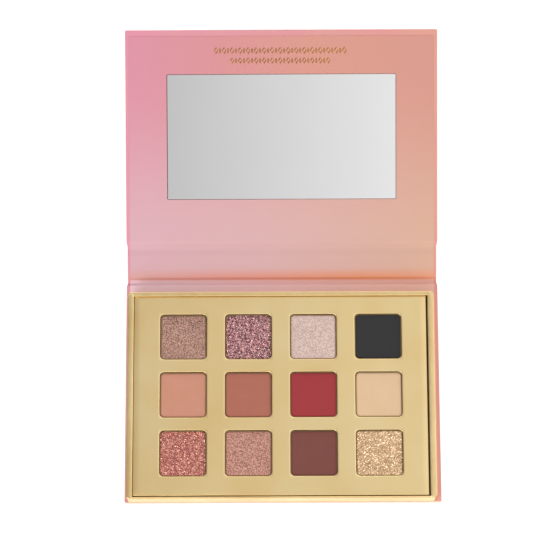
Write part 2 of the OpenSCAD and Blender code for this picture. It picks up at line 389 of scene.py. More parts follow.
def on_sheet(tree):
    """how far a point lies across and along its sheet, from the values piece() stores"""
    pattern = node(tree, "ShaderNodeAttribute", attribute_name="pattern").outputs["Vector"]
    return node(tree, "ShaderNodeSeparateXYZ", {0: pattern}).outputs[:2]


wrap_paper, wrap_surface = new_finish("wrap_paper", 0.5)
tree = wrap_paper.node_tree
across, along = on_sheet(tree)
share = between(tree, across, -case_half, case_half)
print_and_edge_shade = ramp(wrap_paper, share, (0.0, "d2889c"), (0.35, "d08e95"), (1.0, "d39281"))
cloudy = speckle(wrap_paper, own_place(wrap_paper), 30 * mm, 1)
print_and_edge_shade = mixed(wrap_paper, 0.25, print_and_edge_shade,
                     ramp(wrap_paper, cloudy, (0.3, "d67d8f"), (0.7, "d69b89")))
# painted shade: the cover's rounded side edges turn a greyer pink and the base's front edge a
# grey-beige
for reach, start, end, strength, tint in (
        (maths(tree, "ABSOLUTE", across), case_half - 0.5 * mm, case_half, 0.65, "c39a94"),
        (along, base_free + 0.7 * mm, base_free + 0.2 * mm, 0.6, "e4d6ba")):
    painted_edge_shade = between(tree, reach, start, end, 0, strength)
    print_and_edge_shade = mixed(wrap_paper, painted_edge_shade, print_and_edge_shade, colour(tint))
paint(wrap_paper, wrap_surface, print_and_edge_shade)
relief(wrap_paper, wrap_surface, speckle(wrap_paper, own_place(wrap_paper), 0.25 * mm), 0.012 * mm)

lower_wrap = wrap(on_base, 0, 1.1 * mm, base_stations, base_free,
                  lambda s: half_width(s, base_board[1].y, 0), over_base(doubled, 0))
lower_wrap = lower_wrap.piece("lower_wrap", wrap_paper, None, paper)
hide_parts("base_wrap", "spine_wrap")
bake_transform(lower_wrap)

upper_wrap = wrap(on_lid, spine_run, 0.6 * mm, lid_stations, lid_free,
                  lambda s: half_width(s, lid_card[0].y, lid_bend[1]),
                  over_lid(lid_valley - paper, 0))
upper_wrap = upper_wrap.piece("upper_wrap", wrap_paper, None, paper)
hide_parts("lid_wrap")
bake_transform(upper_wrap)


# ---- printed lining ----
# A second printed paper covers the boards and the turned-in borders inside the case and
# is creased down into both folds. The lid's half is die-cut with a window for the mirror.

lining_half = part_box("base_liner")[1].x
lining_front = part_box("base_liner")[0].y - spine_axis.y
lining_free = flat_box("lid_liner", lid_axis, open_angle)[1].y
base_lining = over_base(doubled + paper + 0.05 * mm, paper)
lid_lining = over_lid(lid_valley + 0.05 * mm, paper)


hair = 1e-7


def around(xs, ys):
    """the points on the border of a grid, anticlockwise"""
    return ([(x, ys[0]) for x in xs[:-1]] + [(xs[-1], y) for y in ys[:-1]]
            + [(x, ys[-1]) for x in xs[:0:-1]] + [(xs[0], y) for y in ys[:0:-1]])


class Window:
    """a round-cornered opening, and the grid lines that a sheet round it needs"""

    def __init__(self, centre, half, corner, frame_width):
        self.centre, self.half, self.corner = centre, half, corner
        self.outer = [h + frame_width for h in half]

    def lines(self, axis):
        inner = self.half[axis] - self.corner
        offsets = [inner + self.corner * sin(radians(t)) for t in (0, 15, 30)]
        offsets.append(self.outer[axis])
        return [self.centre[axis] + side * offset for side in (-1, 1) for offset in offsets]

    def holds(self, x, y):
        return (abs(x - self.centre[0]) < self.outer[0]
                and abs(y - self.centre[1]) < self.outer[1])

    def boundary(self, x_lines, y_lines):
        """the grid points round the window's frame, anticlockwise"""
        cx, cy = self.centre
        wide, long = self.outer
        xs = [x for x in x_lines if abs(x - cx) < wide + hair]
        return around(xs, [y for y in y_lines if abs(y - cy) < long + hair])

    def edge_point(self, x, y, grow):
        """the point of the opening, grown outwards, that faces a boundary point"""
        offset = [x - self.centre[0], y - self.centre[1]]
        side = [1 if value > 0 else -1 for value in offset]
        past = [abs(v) - (h - self.corner) for v, h in zip(offset, self.half)]
        at_end = [abs(abs(v) - o) < hair for v, o in zip(offset, self.outer)]
        if all(at_end):
            turn = radians(45)
        elif past[0] > 0 and past[1] > 0:
            near = past[0] if at_end[1] else past[1]
            turn = asin(min(near / self.corner, 1))
            turn = turn if at_end[1] else pi / 2 - turn
        else:
            turn = 0 if at_end[1] else pi / 2
            straight = 0 if at_end[1] else 1
            reach = [h - self.corner for h in self.half]
            point = [0, 0]
            point[straight] = offset[straight]
            point[1 - straight] = side[1 - straight] * (self.half[1 - straight] + grow)
            if past[straight] <= 0:
                return tuple(c + p for c, p in zip(self.centre, point))
        radius = self.corner + grow
        turned = (sin(turn), cos(turn))
        return tuple(c + sign * (h - self.corner + radius * part) for c, sign, h, part
                     in zip(self.centre, side, self.half, turned))


def windowed(sheet, x_lines, y_lines, windows, height, lip=((0, 0),)):
    """fills a grid with faces and leaves the windows open; a lip is a list of
    (outward distance from the opening, drop below the sheet), from outside in"""
    for x0, x1 in zip(x_lines, x_lines[1:]):
        for y0, y1 in zip(y_lines, y_lines[1:]):
            if not any(w.holds((x0 + x1) / 2, (y0 + y1) / 2) for w in windows):
                sheet.quad(*[(x, y, height(x, y)) for x, y in
                             ((x0, y0), (x1, y0), (x1, y1), (x0, y1))])
    for window in windows:
        boundary = window.boundary(x_lines, y_lines)
        ring = [(x, y, height(x, y)) for x, y in boundary]
        for grow, drop in lip:
            inner = []
            for x, y in boundary:
                x, y = window.edge_point(x, y, grow)
                inner.append((x, y, height(x, y) - drop))
            sheet.bridge(ring, inner, closed=True)
            ring = inner


def sorted_lines(*groups):
    return sorted({round(value, 8) for group in groups for value in group})


lining_paper, lining_surface = new_finish("lining_paper", 0.42)
tree = lining_paper.node_tree
across, along = on_sheet(tree)
share = between(tree, across, -lining_half, lining_half)
upper_print = ramp(lining_paper, share, (0.0, "cb8395"), (0.3, "ca8587"),
                   (0.6, "cb8c7d"), (1.0, "c88b7d"))
lower_print = ramp(lining_paper, share, (0.0, "ca9da6"), (0.45, "cba1a0"), (1.0, "cca18a"))


def fade(start, end):
    """a soft change of print along the sheet"""
    return between(tree, along, start, end, kind="SMOOTHSTEP")


lining_print_and_light = mixed(lining_paper, fade(spine_run + lining_free * 0.85, spine_run),
                    upper_print, lower_print)
# painted glow of bounced light: a coral band on the lining up the spine, just above the crease at
# the base
painted_glow = maths(tree, "MULTIPLY", fade(8 * mm, 2 * mm), fade(0.2 * mm, 1.2 * mm))
painted_glow_colour = ramp(lining_paper, share, (0.0, "cf968d"), (0.3, "d88a7b"), (0.75, "de885a"),
                    (1.0, "dd8e6c"))
# painted light: the lining on the base, between the crease and the tray, is made paler to lift the
# shade that the tray casts there
lightened_beside_tray = ramp(lining_paper, share, (0.0, "deb9c2"), (0.45, "e7b7b7"), (1.0, "e4af9e"))
lining_print_and_light = mixed(lining_paper, fade(1.6 * mm, 0.6 * mm), lining_print_and_light, lightened_beside_tray)
lining_print_and_light = mixed(lining_paper, maths(tree, "MULTIPLY", painted_glow, 0.8), lining_print_and_light, painted_glow_colour)
paint(lining_paper, lining_surface, lining_print_and_light)
relief(lining_paper, lining_surface,
       speckle(lining_paper, own_place(lining_paper), 0.2 * mm), 0.008 * mm)

mirror_box = flat_box("mirror", lid_axis, open_angle)
mirror_play = 0.15 * mm
mirror_mid = (mirror_box[0] + mirror_box[1]) / 2
mirror_half = (mirror_box[1] - mirror_box[0]) / 2
bay = Window(mirror_mid.xy, [mirror_half.x + mirror_play, mirror_half.y + mirror_play],
             0.75 * mm, mm)

base_rows = steps(lining_front, -10 * mm, 6) + steps(-5 * mm, -3 * mm, 2)
base_rows += steps(-2.7 * mm, 3 * mm, 19) + steps(4 * mm, spine_mid, 4)
lid_rows = sorted_lines(steps(spine_mid - spine_run, -2 * mm, 4), steps(-1.7 * mm, 7 * mm, 29),
                        [9 * mm, 14 * mm, 20 * mm], bay.lines(1),
                        steps(bay.centre[1] - 25 * mm, bay.centre[1] + 25 * mm, 4),
                        [lining_free - 8 * mm, lining_free])
lining_columns = sorted_lines(bay.lines(0), steps(-50 * mm, 50 * mm, 4),
                              [side * x for side in (-1, 1) for x in (lining_half, 67 * mm)])

lower_lining = Sheet(on_base)
windowed(lower_lining, lining_columns, base_rows, [], lambda x, s: base_lining(s))
lower_lining = lower_lining.piece("lower_lining", lining_paper, Vector((0, 0, 1)), paper)
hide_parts("base_liner", "spine_liner")
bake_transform(lower_lining)

upper_lining = Sheet(on_lid, spine_run)
windowed(upper_lining, lining_columns, lid_rows, [bay], lambda x, s: lid_lining(s))
upper_lining = upper_lining.piece("upper_lining", lining_paper, Vector((0, 0, 1)), paper)
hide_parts("lid_liner")
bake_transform(upper_lining)


# ---- mirror and its tape ----
# A plate of silvered float glass with a ground pencil edge. It is stuck into its bay
# with double-sided tape and lies a hair below the lining.


def outline(centre, half, radius, counts):
    """points round a round-cornered rectangle, anticlockwise from its right side, with
    counts straight steps across and along"""
    wide, long = half
    arc = 6
    points = []
    for quarter in range(4):
        mid_x = centre[0] + (wide - radius) * (1 if quarter in (0, 3) else -1)
        mid_y = centre[1] + (long - radius) * (1 if quarter in (0, 1) else -1)
        for t in steps(quarter * 90, quarter * 90 + 90, arc):
            points.append((mid_x + radius * cos(radians(t)), mid_y + radius * sin(radians(t))))
    full = []
    for i, point in enumerate(points):
        full.append(point)
        if (i + 1) % (arc + 1) == 0:
            ahead = points[(i + 1) % len(points)]
            count = counts[(i // (arc + 1)) % 2]
            full += [tuple(p + (a - p) * k / count for p, a in zip(point, ahead))
                     for k in range(1, count)]
    return full


def stacked(sheet, centre, half, radius, profile, spacing):
    """a form made of outlines; a profile point is (inset, height), from below to above"""
    counts = [max(1, round(2 * h / spacing)) for h in half]
    rings = []
    for inset, height in profile:
        ring = outline(centre, [h - inset for h in half], max(radius - inset, 0.05 * mm), counts)
        rings.append([(x, y, height) for x, y in ring])
    for first, second in zip(rings, rings[1:]):
        sheet.bridge(first, second, closed=True)
    for ring in (rings[0], rings[-1]):
        sheet.faces.append([sheet.corner(point) for point in ring])
    return sheet


mirror_glass, mirror_surface = new_finish("mirror_glass", 0.015, 1.0)
smudges = speckle(mirror_glass, own_place(mirror_glass), 22 * mm, 4)
paint(mirror_glass, mirror_surface, ramp(mirror_glass, smudges, (0.2, "e7e7e7"), (0.8, "e9e9e9")))
grind = 0.22 * mm
glass_low, glass_high = mirror_box[0].z, mirror_box[1].z
mirror_form = Sheet(on_lid, spine_run)
stacked(mirror_form, mirror_mid.xy, mirror_half.xy, 0.6 * mm,
        [(0.1 * mm, glass_low), (0, glass_low + 0.1 * mm), (0, glass_high - grind),
         (0.07 * mm, glass_high - 0.07 * mm), (grind, glass_high)], spacing=1)
mirror_plate = mirror_form.piece("mirror_plate", mirror_glass, None, smooth_to=12)
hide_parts("mirror")
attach(mirror_plate, "lid")


# a cloudy film of adhesive
adhesive, tacky_surface = grained("adhesive", 0.35, 0, (1, 1, 1), 1.5 * mm, 4,
                                  [(0.3, "dcd6c4"), (0.75, "f4f1e8")], 0.03 * mm)
tacky_surface.inputs["Coat Weight"].default_value = 0.3
give_finish(adhesive, "mirror_tape", "tray_tape", "pan_glue")


# ---- magnets and keepers ----
# Two nickel-plated magnets are sunk in the lid board and meet two steel discs under the
# front border of the platform, so that the lid snaps shut.


def plated_finish(name, dark, light, roughness):
    """turned metal with a thin plating, faintly scored"""
    return grained(name, roughness, 1, (1, 9, 1), 0.6 * mm, 4,
                   [(0.3, dark), (0.7, light)], 0.01 * mm)[0]


magnet_metal = plated_finish("magnet_metal", "a5a7a8", "c4c5c4", 0.28)
give_finish(magnet_metal, "lid_magnets", "steel_keepers")


# ---- foil ornament on the lining ----
# Two short rows of lozenges and dots are hot-stamped in gold foil above the mirror. The
# die presses each mark a little into the paper and leaves a thin raised skin of foil.


def grown(name, source, build, inputs, values, finish):
    """runs a Geometry Nodes tree on a mesh and gives back a plain mesh object"""
    tree = bpy.data.node_groups.new(name, "GeometryNodeTree")
    for label, kind in inputs:
        tree.interface.new_socket(label, in_out="INPUT", socket_type="NodeSocket" + kind)
    tree.interface.new_socket("Geometry", in_out="OUTPUT", socket_type="NodeSocketGeometry")
    start = tree.nodes.new("NodeGroupInput")
    result = build(tree, start.outputs)
    whole = node(tree, "GeometryNodeRealizeInstances", {0: result})
    painted = node(tree, "GeometryNodeSetMaterial", {"Geometry": whole.outputs[0]})
    painted.inputs["Material"].default_value = finish
    end = tree.nodes.new("NodeGroupOutput")
    tree.links.new(painted.outputs[0], end.inputs[0])
    made = bpy.data.objects.new(name, source)
    bpy.context.scene.collection.objects.link(made)
    modifier = made.modifiers.new(name, "NODES")
    modifier.node_group = tree
    for item in tree.interface.items_tree:
        if item.in_out == "INPUT" and item.name in values:
            modifier[item.identifier] = values[item.name]
    return finished(made, None, 25)


def gold_finish(name, dark, light, roughness, creased=False):
    """metallised paper: a thin film of aluminium under a yellow lacquer"""
    finish, surface = new_finish(name, roughness, 1.0)
    streaks = speckle(finish, own_place(finish), 30 * mm, 2)
    paint(finish, surface, ramp(finish, streaks, (0.3, dark), (0.7, light)))
    fibre = speckle(finish, own_place(finish), 0.5 * mm, 4)
    if creased:
        creases = speckle(finish, own_place(finish), 4 * mm, 2)
        fibre = maths(finish.node_tree, "MULTIPLY_ADD", fibre, 0.06, creases)
    relief(finish, surface, fibre, (0.16 if creased else 0.01) * mm)
    return finish


def stamped_row(tree, given):
    """a row of hollow lozenges, with a slim one between each two"""
    step = node(tree, "ShaderNodeCombineXYZ", {"X": given["Pitch"]})
    shift = maths(tree, "MULTIPLY", maths(tree, "SUBTRACT", given["Count"], 1.0), -0.5)
    start = node(tree, "ShaderNodeVectorMath", {0: step.outputs[0], "Scale": shift},
                 operation="SCALE")
    rows = []
    for size, lead, slim in (("Mark", 0.0, 0.62), ("Dot", 0.5, 0.4)):
        moved = node(tree, "ShaderNodeVectorMath", {0: step.outputs[0], "Scale": lead},
                     operation="SCALE")
        first = node(tree, "ShaderNodeVectorMath", {0: start.outputs[0], 1: moved.outputs[0]})
        fewer = maths(tree, "SUBTRACT", given["Count"], 2 * lead)
        points = node(tree, "GeometryNodeMeshLine",
                      {"Count": fewer, "Start Location": first.outputs[0],
                       "Offset": step.outputs[0]})
        ring = node(tree, "GeometryNodeMeshCircle", {"Vertices": 4, "Radius": given[size]})
        line = node(tree, "GeometryNodeMeshToCurve", {0: ring.outputs[0]})
        stroke = node(tree, "GeometryNodeCurvePrimitiveCircle", {"Resolution": 4,
                                                                 "Radius": given["Stroke"]})
        mark = node(tree, "GeometryNodeCurveToMesh", {0: line.outputs[0], 1: stroke.outputs[0]})
        rows.append(node(tree, "GeometryNodeInstanceOnPoints",
                         {"Points": points.outputs[0], "Instance": mark.outputs[0],
                          "Scale": (slim, 1, 0.25)}).outputs[0])
    return joined(tree, rows)


def joined(tree, parts):
    made = node(tree, "GeometryNodeJoinGeometry")
    for part in parts:
        tree.links.new(part, made.inputs[0])
    return made.outputs[0]


ornament_gold = gold_finish("ornament_gold", "9c6824", "b98436", 0.4)
row_inputs = [("Count", "Int"), ("Pitch", "Float"), ("Mark", "Float"), ("Dot", "Float"),
              ("Stroke", "Float")]
foil_top = lid_lining(lid_free - 10 * mm)
for label, count, from_edge, mark in (("upper", 17, 10.4 * mm, 1.5 * mm),
                                      ("lower", 13, 15.4 * mm, 1.35 * mm)):
    values = {"Count": count, "Pitch": 4 * mm, "Mark": mark, "Dot": 1.1 * mm,
              "Stroke": 0.36 * mm}
    row = grown("foil_row_" + label, bpy.data.meshes.new(label), stamped_row, row_inputs,
                values, ornament_gold)
    for vertex in row.data.vertices:
        x, y, z = vertex.co
        vertex.co = on_lid(x - 0.5 * mm, lid_free - from_edge + y, foil_top + z + 0.02 * mm)
    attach(row, "lid")


# ---- tray box ----
# A shallow box of the same greyboard stands on the base, its corners stayed with kraft
# tape. It is wrapped in gold foil paper that is folded over the rim and under the floor.

kraft, _ = grained("kraft_paper", 0.85, 0, (1, 1, 6), 0.8 * mm, 5,
                   [(0.3, "a67c4c"), (0.7, "c39b6b")], 0.03 * mm)
give_finish(kraft, "tray_corner_stays")


def in_place(x, y, z):
    return Vector((x, y, z))


tray_low, tray_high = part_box("tray_foil")
tray_mid = (tray_low + tray_high) / 2
tray_half = (tray_high - tray_low) / 2
platform_low, platform_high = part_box("platform_foil")
# the walls stand half a millimetre off the platform, and the front one a little more
cavity_mid = (platform_low + platform_high) / 2 - Vector((0, 0.12, 0)) * mm
cavity_half = (platform_high - platform_low) / 2 + Vector((0.5, 0.62, 0)) * mm
well_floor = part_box("pan_bed")[0].z
rim_r = 0.32 * mm
tray_r = 1.7 * mm
cavity_r = 0.3 * mm
folded_under = 10 * mm
foil = 0.15 * mm
tray_counts = [36, 26]


def tray_ring(inset, z):
    """an outline inside the tray's outer face"""
    return [(x, y, z) for x, y in outline(tray_mid.xy, [h - inset for h in tray_half.xy],
                                          tray_r - inset, tray_counts)]


def cavity_ring(outset, z):
    """an outline outside the tray's inner face"""
    return [(x, y, z) for x, y in outline(cavity_mid.xy, [h + outset for h in cavity_half.xy],
                                          cavity_r + outset, tray_counts)]


def over_rim(inset, foot, floor):
    """outlines up the outer face, over the rounded rim and down the inner face"""
    bend = rim_r - inset
    turns = [(bend * sin(radians(t)), bend * cos(radians(t))) for t in steps(0, 90, 5)]
    return ([tray_ring(inset, foot)]
            + [tray_ring(rim_r - c, tray_high.z - rim_r + s) for s, c in turns]
            + [cavity_ring(rim_r - s, tray_high.z - rim_r + c) for s, c in turns]
            + [cavity_ring(inset, floor)])


tray_gold = gold_finish("tray_gold", "dbbd85", "e8cd98", 0.32, creased=True)
tray_paper = Sheet(in_place)
for first, second in zip([tray_ring(folded_under, tray_low.z)] + over_rim(0, tray_low.z, well_floor),
                         over_rim(0, tray_low.z, well_floor)):
    tray_paper.bridge(first, second, closed=True)
tray_paper = tray_paper.piece("tray_paper", tray_gold, None, foil * 0.9)
tray_card = Sheet(in_place)
card_rings = over_rim(foil + 0.1 * mm, tray_low.z + foil, well_floor)
for first, second in zip(card_rings, card_rings[1:]):
    tray_card.bridge(first, second, closed=True)
for ring in (card_rings[0], card_rings[-1]):
    tray_card.faces.append([tray_card.corner(point) for point in ring])
tray_card = tray_card.piece("tray_card", greyboard, None)

# at each corner the paper is gathered into pleats that fan out over the rim
pleats = Sheet(in_place)
for x_side in (-1, 1):
    for y_side in (-1, 1):
        inner = [cavity_mid.x + x_side * cavity_half.x, cavity_mid.y + y_side * cavity_half.y]
        outer = [tray_mid.x + x_side * tray_half.x, tray_mid.y + y_side * tray_half.y]
        room = [abs(o - i) - 0.45 * mm for o, i in zip(outer, inner)]
        fan = []
        for k, turn in enumerate(steps(2, 88, 9)):
            turn = radians(turn + 3 * sin(k * 2.4))
            reach = min(room[0] / max(cos(turn), 0.01), room[1] / max(sin(turn), 0.01))
            reach = min(reach, 0.9 * sqrt(room[0] ** 2 + room[1] ** 2))
            fold = [(0.35 * mm, 0), (0.5 * reach, 0.09 * mm * (k % 2)), (reach, 0)]
            fan.append([(inner[0] + x_side * r * cos(turn), inner[1] + y_side * r * sin(turn),
                         tray_high.z + 0.02 * mm + rise) for r, rise in fold])
        for first, second in zip(fan, fan[1:]):
            pleats.bridge(first, second)
tray_pleats = pleats.piece("tray_pleats", tray_gold, Vector((0, 0, 1)), 0.06 * mm, smooth_to=2)
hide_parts("tray_foil")
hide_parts("tray_box")
for part in (tray_paper, tray_card, tray_pleats):
    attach(part, "base")


# ---- bed and wells ----
# A card lies on the floor of the box, and a die-cut grid on it keeps the pans apart. A
# spot of glue holds each pan down.

give_finish(greyboard, "pan_bed")
# painted shade: this board is much darker than the greyboard, so that the gaps round the platform
# and the windows, where it shows, read dark
painted_shade_board = greyboard_finish("painted_shade_board", "4f463a", "6b6153")
give_finish(painted_shade_board, "well_grid")


# ---- platform ----
# A die-cut card covered with the same gold foil paper. The die rolls the foil a little
# way down into each window and over the outer edge.

pan_names = sorted(name for name in frame["nodes"] if name.startswith("pan_")
                   and name[4:] in [a + b for a in "abcde" for b in "123456"])
spots = [name[4:] for name in pan_names]
window_half = (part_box(pan_names[0])[1].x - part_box(pan_names[0])[0].x) / 2 + 0.2 * mm
windows = []
for name in pan_names:
    low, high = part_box(name)
    windows.append(Window(((low + high) / 2).xy, [window_half, window_half], 2.2 * mm, 0.9 * mm))
# the card was glued down a little to the left and the back of its box
left_edge, right_edge = platform_low.x - 0.33 * mm, platform_high.x - 0.15 * mm
front_edge, rear_edge = platform_low.y - 0.05 * mm, platform_high.y + 0.44 * mm
roll = 0.3 * mm
platform_columns = sorted_lines(*[w.lines(0) for w in windows], [w.centre[0] for w in windows],
                                steps(left_edge + roll, windows[0].centre[0] - 15 * mm, 3),
                                steps(windows[-1].centre[0] + 15 * mm, right_edge - roll, 3))
platform_rows = sorted_lines(*[w.lines(1) for w in windows], [w.centre[1] for w in windows],
                             [front_edge + roll, front_edge + 3 * mm, rear_edge - 3 * mm,
                              rear_edge - roll])


def bowed(x, y):
    """the glued card is not quite flat"""
    return 0.1 * mm * noise.noise(Vector((x * 24, y * 30, 0.4)))


def platform_sheet(name, finish, top, grow, lip, skirt, thick):
    sheet = Sheet(in_place)
    cut = [Window(w.centre, [h + grow for h in w.half], w.corner + grow, 0.9 * mm - grow)
           for w in windows]
    windowed(sheet, platform_columns, platform_rows, cut, lambda x, y: top + bowed(x, y), lip)
    xs, ys = platform_columns, platform_rows
    rings = []
    for out, drop in skirt:
        ring = []
        for x, y in around(xs, ys):
            right = (x == xs[-1]) - (x == xs[0])
            back = (y == ys[-1]) - (y == ys[0])
            wander = 0.14 * mm * noise.noise(Vector((x * 45, 3.1, 0))) * (back < 0 < out)
            ring.append((x + right * out, y + back * out + wander, top + bowed(x, y) - drop))
        rings.append(ring)
    for first, second in zip(rings, rings[1:]):
        sheet.bridge(first, second, closed=True)
    if not thick:
        windowed(sheet, xs, ys, cut, lambda x, y: top + bowed(x, y) - lip[-1][1])
    return sheet.piece(name, finish, Vector((0, 0, 1)) if thick else None, thick)


def rolled(radius):
    return [(radius * (1 - sin(radians(t))), radius * (1 - cos(radians(t))))
            for t in steps(0, 90, 4)]


foil_lip = rolled(roll) + [(0, 1.15 * mm)]
foil_skirt = [(roll - out, drop) for out, drop in rolled(roll)] + [(roll, 1.6 * mm)]
platform_gold = gold_finish("platform_gold", "e4c68c", "e8d19d", 0.36)
platform_skin = platform_sheet("platform_skin", platform_gold, platform_high.z, 0, foil_lip,
                               foil_skirt, foil * 0.8)
card_top = platform_high.z - foil
# the card under the foil takes the same darker board, painted shade in the gaps round it
platform_card = platform_sheet("platform_card", painted_shade_board, card_top, 0.12 * mm,
                               [(0, 0), (0, 1.2 * mm)], [(0, 0), (0, 1.2 * mm)], 0)
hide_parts("platform_foil")
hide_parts("platform_board")
for part in (platform_skin, platform_card):
    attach(part, "base")


# ---- pans ----
# Twelve square cups drawn from thin tinplate, all from one die. Each drops through its
# window and is glued to the bed.


def pan_rows(tree, given):
    """the same cup at every window"""
    wide, long = [maths(tree, "MULTIPLY", maths(tree, "SUBTRACT", given[count], 1.0), given[pitch])
                  for count, pitch in (("Columns", "Pitch X"), ("Rows", "Pitch Y"))]
    grid = node(tree, "GeometryNodeMeshGrid",
                {"Size X": wide, "Size Y": long,
                 "Vertices X": given["Columns"], "Vertices Y": given["Rows"]})
    return node(tree, "GeometryNodeInstanceOnPoints",
                {"Points": grid.outputs[0], "Instance": given["Cup"]}).outputs[0]


pan_low, pan_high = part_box(pan_names[0])
pan_half = (pan_high.x - pan_low.x) / 2
pan_wall = 0.25 * mm
draw_r = 0.7 * mm
cup = [(draw_r * (1 - sin(radians(t))), pan_low.z + draw_r * (1 - cos(radians(t))))
       for t in steps(0, 90, 4)]
cup += [(0, pan_high.z - 0.08 * mm), (0.08 * mm, pan_high.z), (0.17 * mm, pan_high.z),
        (pan_wall, pan_high.z - 0.08 * mm), (pan_wall, pan_low.z + draw_r)]
cup += [(draw_r - (draw_r - pan_wall) * cos(radians(t)),
         pan_low.z + draw_r - (draw_r - pan_wall) * sin(radians(t))) for t in steps(15, 90, 4)]
cup_form = stacked(Sheet(in_place), (0, 0), (pan_half, pan_half), 2 * mm, cup, spacing=20 * mm)
# a warm lacquered tin, partly painted shade: darkened so that the rim round each powder reads as the
# shaded gap
pan_tin = plated_finish("pan_tin", "8a7654", "a8946e", 0.42)
cup_piece = cup_form.piece("cup", pan_tin, None)
centres = [w.centre for w in windows]
columns = sorted({round(c[0], 6) for c in centres})
rows = sorted({round(c[1], 6) for c in centres})
pan_inputs = [("Cup", "Geometry"), ("Columns", "Int"), ("Rows", "Int"),
              ("Pitch X", "Float"), ("Pitch Y", "Float")]
pans = grown("pans", cup_piece.data, pan_rows, pan_inputs,
             {"Columns": len(columns), "Rows": len(rows),
              "Pitch X": columns[1] - columns[0], "Pitch Y": rows[1] - rows[0]}, pan_tin)
bpy.data.objects.remove(cup_piece)
middle = Vector(((columns[0] + columns[-1]) / 2, (rows[0] + rows[-1]) / 2, 0))
for vertex in pans.data.vertices:
    vertex.co += middle
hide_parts(*pan_names)
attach(pans, "base")


# ---- pressed powders ----
# Each shade is pressed into its pan with a slightly hollow die, so that it stands a
# little proud in the middle. There are matte, shimmer and glitter powders.

shades = {
    "a1": ("shimmer", "63473d", "cd9f8d"), "a2": ("glitter", "452532", "653c49"),
    "a3": ("shimmer", "b2958d", "e1c9be"), "a4": ("matte", "1c1a1b", "212021"),
    "b1": ("matte", "b67b62", "bf8773"), "b2": ("matte", "9c5949", "a36350"),
    "b3": ("matte", "90252a", "972a2f"), "b4": ("matte", "ccaa85", "d3b491"),
    "c1": ("glitter", "783a39", "9b5750"), "c2": ("shimmer", "7c4f45", "daa290"),
    "c3": ("matte", "6a372f", "733d34"), "c4": ("glitter", "8c6847", "d6b190"),
}
flake_tints = {
    "a2": ("714149", "be8286", "dea3a0", "d9b9b5"),
    "c1": ("a05854", "c8796c", "dd9985", "e2b39f"),
    "c4": ("704c28", "c19969", "f6d2a9", "ffeec8"),
}


def powder_finish(spot, kind, dark, light):
    roughness, metallic = {"matte": (0.95, 0.0), "shimmer": (0.45, 0.35),
                           "glitter": (0.5, 0.3)}[kind]
    finish, surface = new_finish("powder_" + spot, roughness, metallic)
    place = own_place(finish)
    fine = speckle(finish, place, {"matte": 0.3, "shimmer": 0.55, "glitter": 0.4}[kind] * mm, 3)
    cloud = speckle(finish, place, 6 * mm, 2)
    spread = (0.2, 0.8) if kind == "matte" else (0.38, 0.62)
    body = ramp(finish, fine, (spread[0], dark), (spread[1], light))
    soft = ramp(finish, cloud, (0.3, dark), (0.7, light))
    paint(finish, surface, mixed(finish, 0.12 if kind == "shimmer" else 0.3, body, soft))
    relief(finish, surface, fine, {"matte": 0.015, "shimmer": 0.05, "glitter": 0.08}[kind] * mm)
    if kind == "matte":
        surface.inputs["Sheen Weight"].default_value = 0.15
        surface.inputs["Sheen Roughness"].default_value = 0.6
    return finish


def round_corner(x, y, half, radius):
    """moves a point of a square grid so that the square's corners come out round"""
    past_x, past_y = abs(x) - (half - radius), abs(y) - (half - radius)
    if past_x <= 0 or past_y <= 0:
        return x, y
    shrink = max(past_x, past_y) / sqrt(past_x ** 2 + past_y ** 2)
    return ((half - radius + past_x * shrink) * (1 if x > 0 else -1),
            (half - radius + past_y * shrink) * (1 if y > 0 else -1))


def powder_height(x, y, half, top, kind, seed):
    """a crowned top whose edges roll down to the wall of the pan"""
    in_x, in_y = half - abs(x), half - abs(y)
    edge = min(in_x, in_y)
    crown = 0.12 * mm * (1 - (x / half) ** 2) * (1 - (y / half) ** 2)
    shoulder = 0.3 * mm * (1 - ease(edge / (0.9 * mm))) ** 2
    place = Vector((x, y, seed * mm * 50)) / mm
    rough = {"matte": 0.006, "shimmer": 0.02, "glitter": 0.07}[kind] * mm
    pitted = rough * noise.noise(place * 1.3) + rough * noise.noise(place * 0.45)
    return top - 0.05 * mm + crown - shoulder + pitted


def powder_cake(spot, kind, finish, seed):
    low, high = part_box("powder_" + spot)
    mid = (low + high) / 2
    half = (high.x - low.x) / 2
    radius = 1.75 * mm
    cells = 64
    line = steps(-half, half, cells)
    sheet = Sheet(in_place)
    grid = []
    for y in line:
        row = []
        for x in line:
            px, py = round_corner(x, y, half, radius)
            row.append((mid.x + px, mid.y + py,
                        powder_height(x, y, half, high.z, kind, seed)))
        grid.append(row)
    for first, second in zip(grid, grid[1:]):
        sheet.bridge(first, second)
    edge = (grid[0][:-1] + [row[-1] for row in grid[:-1]] + grid[-1][:0:-1]
            + [row[0] for row in grid[:0:-1]])
    foot = [(x, y, low.z) for x, y, z in edge]
    sheet.bridge(edge, foot, closed=True)
    sheet.faces.append([sheet.corner(point) for point in foot])
    return sheet.piece("shade_" + spot, finish, None)


def flake_finish(spot, tints):
    finish, surface = new_finish("flakes_" + spot, 0.32, 0.85)
    tint = node(finish.node_tree, "ShaderNodeAttribute", attribute_name="tint").outputs["Fac"]
    stops = [(i / (len(tints) - 1), code) for i, code in enumerate(tints)]
    paint(finish, surface, ramp(finish, tint, *stops))
    return finish


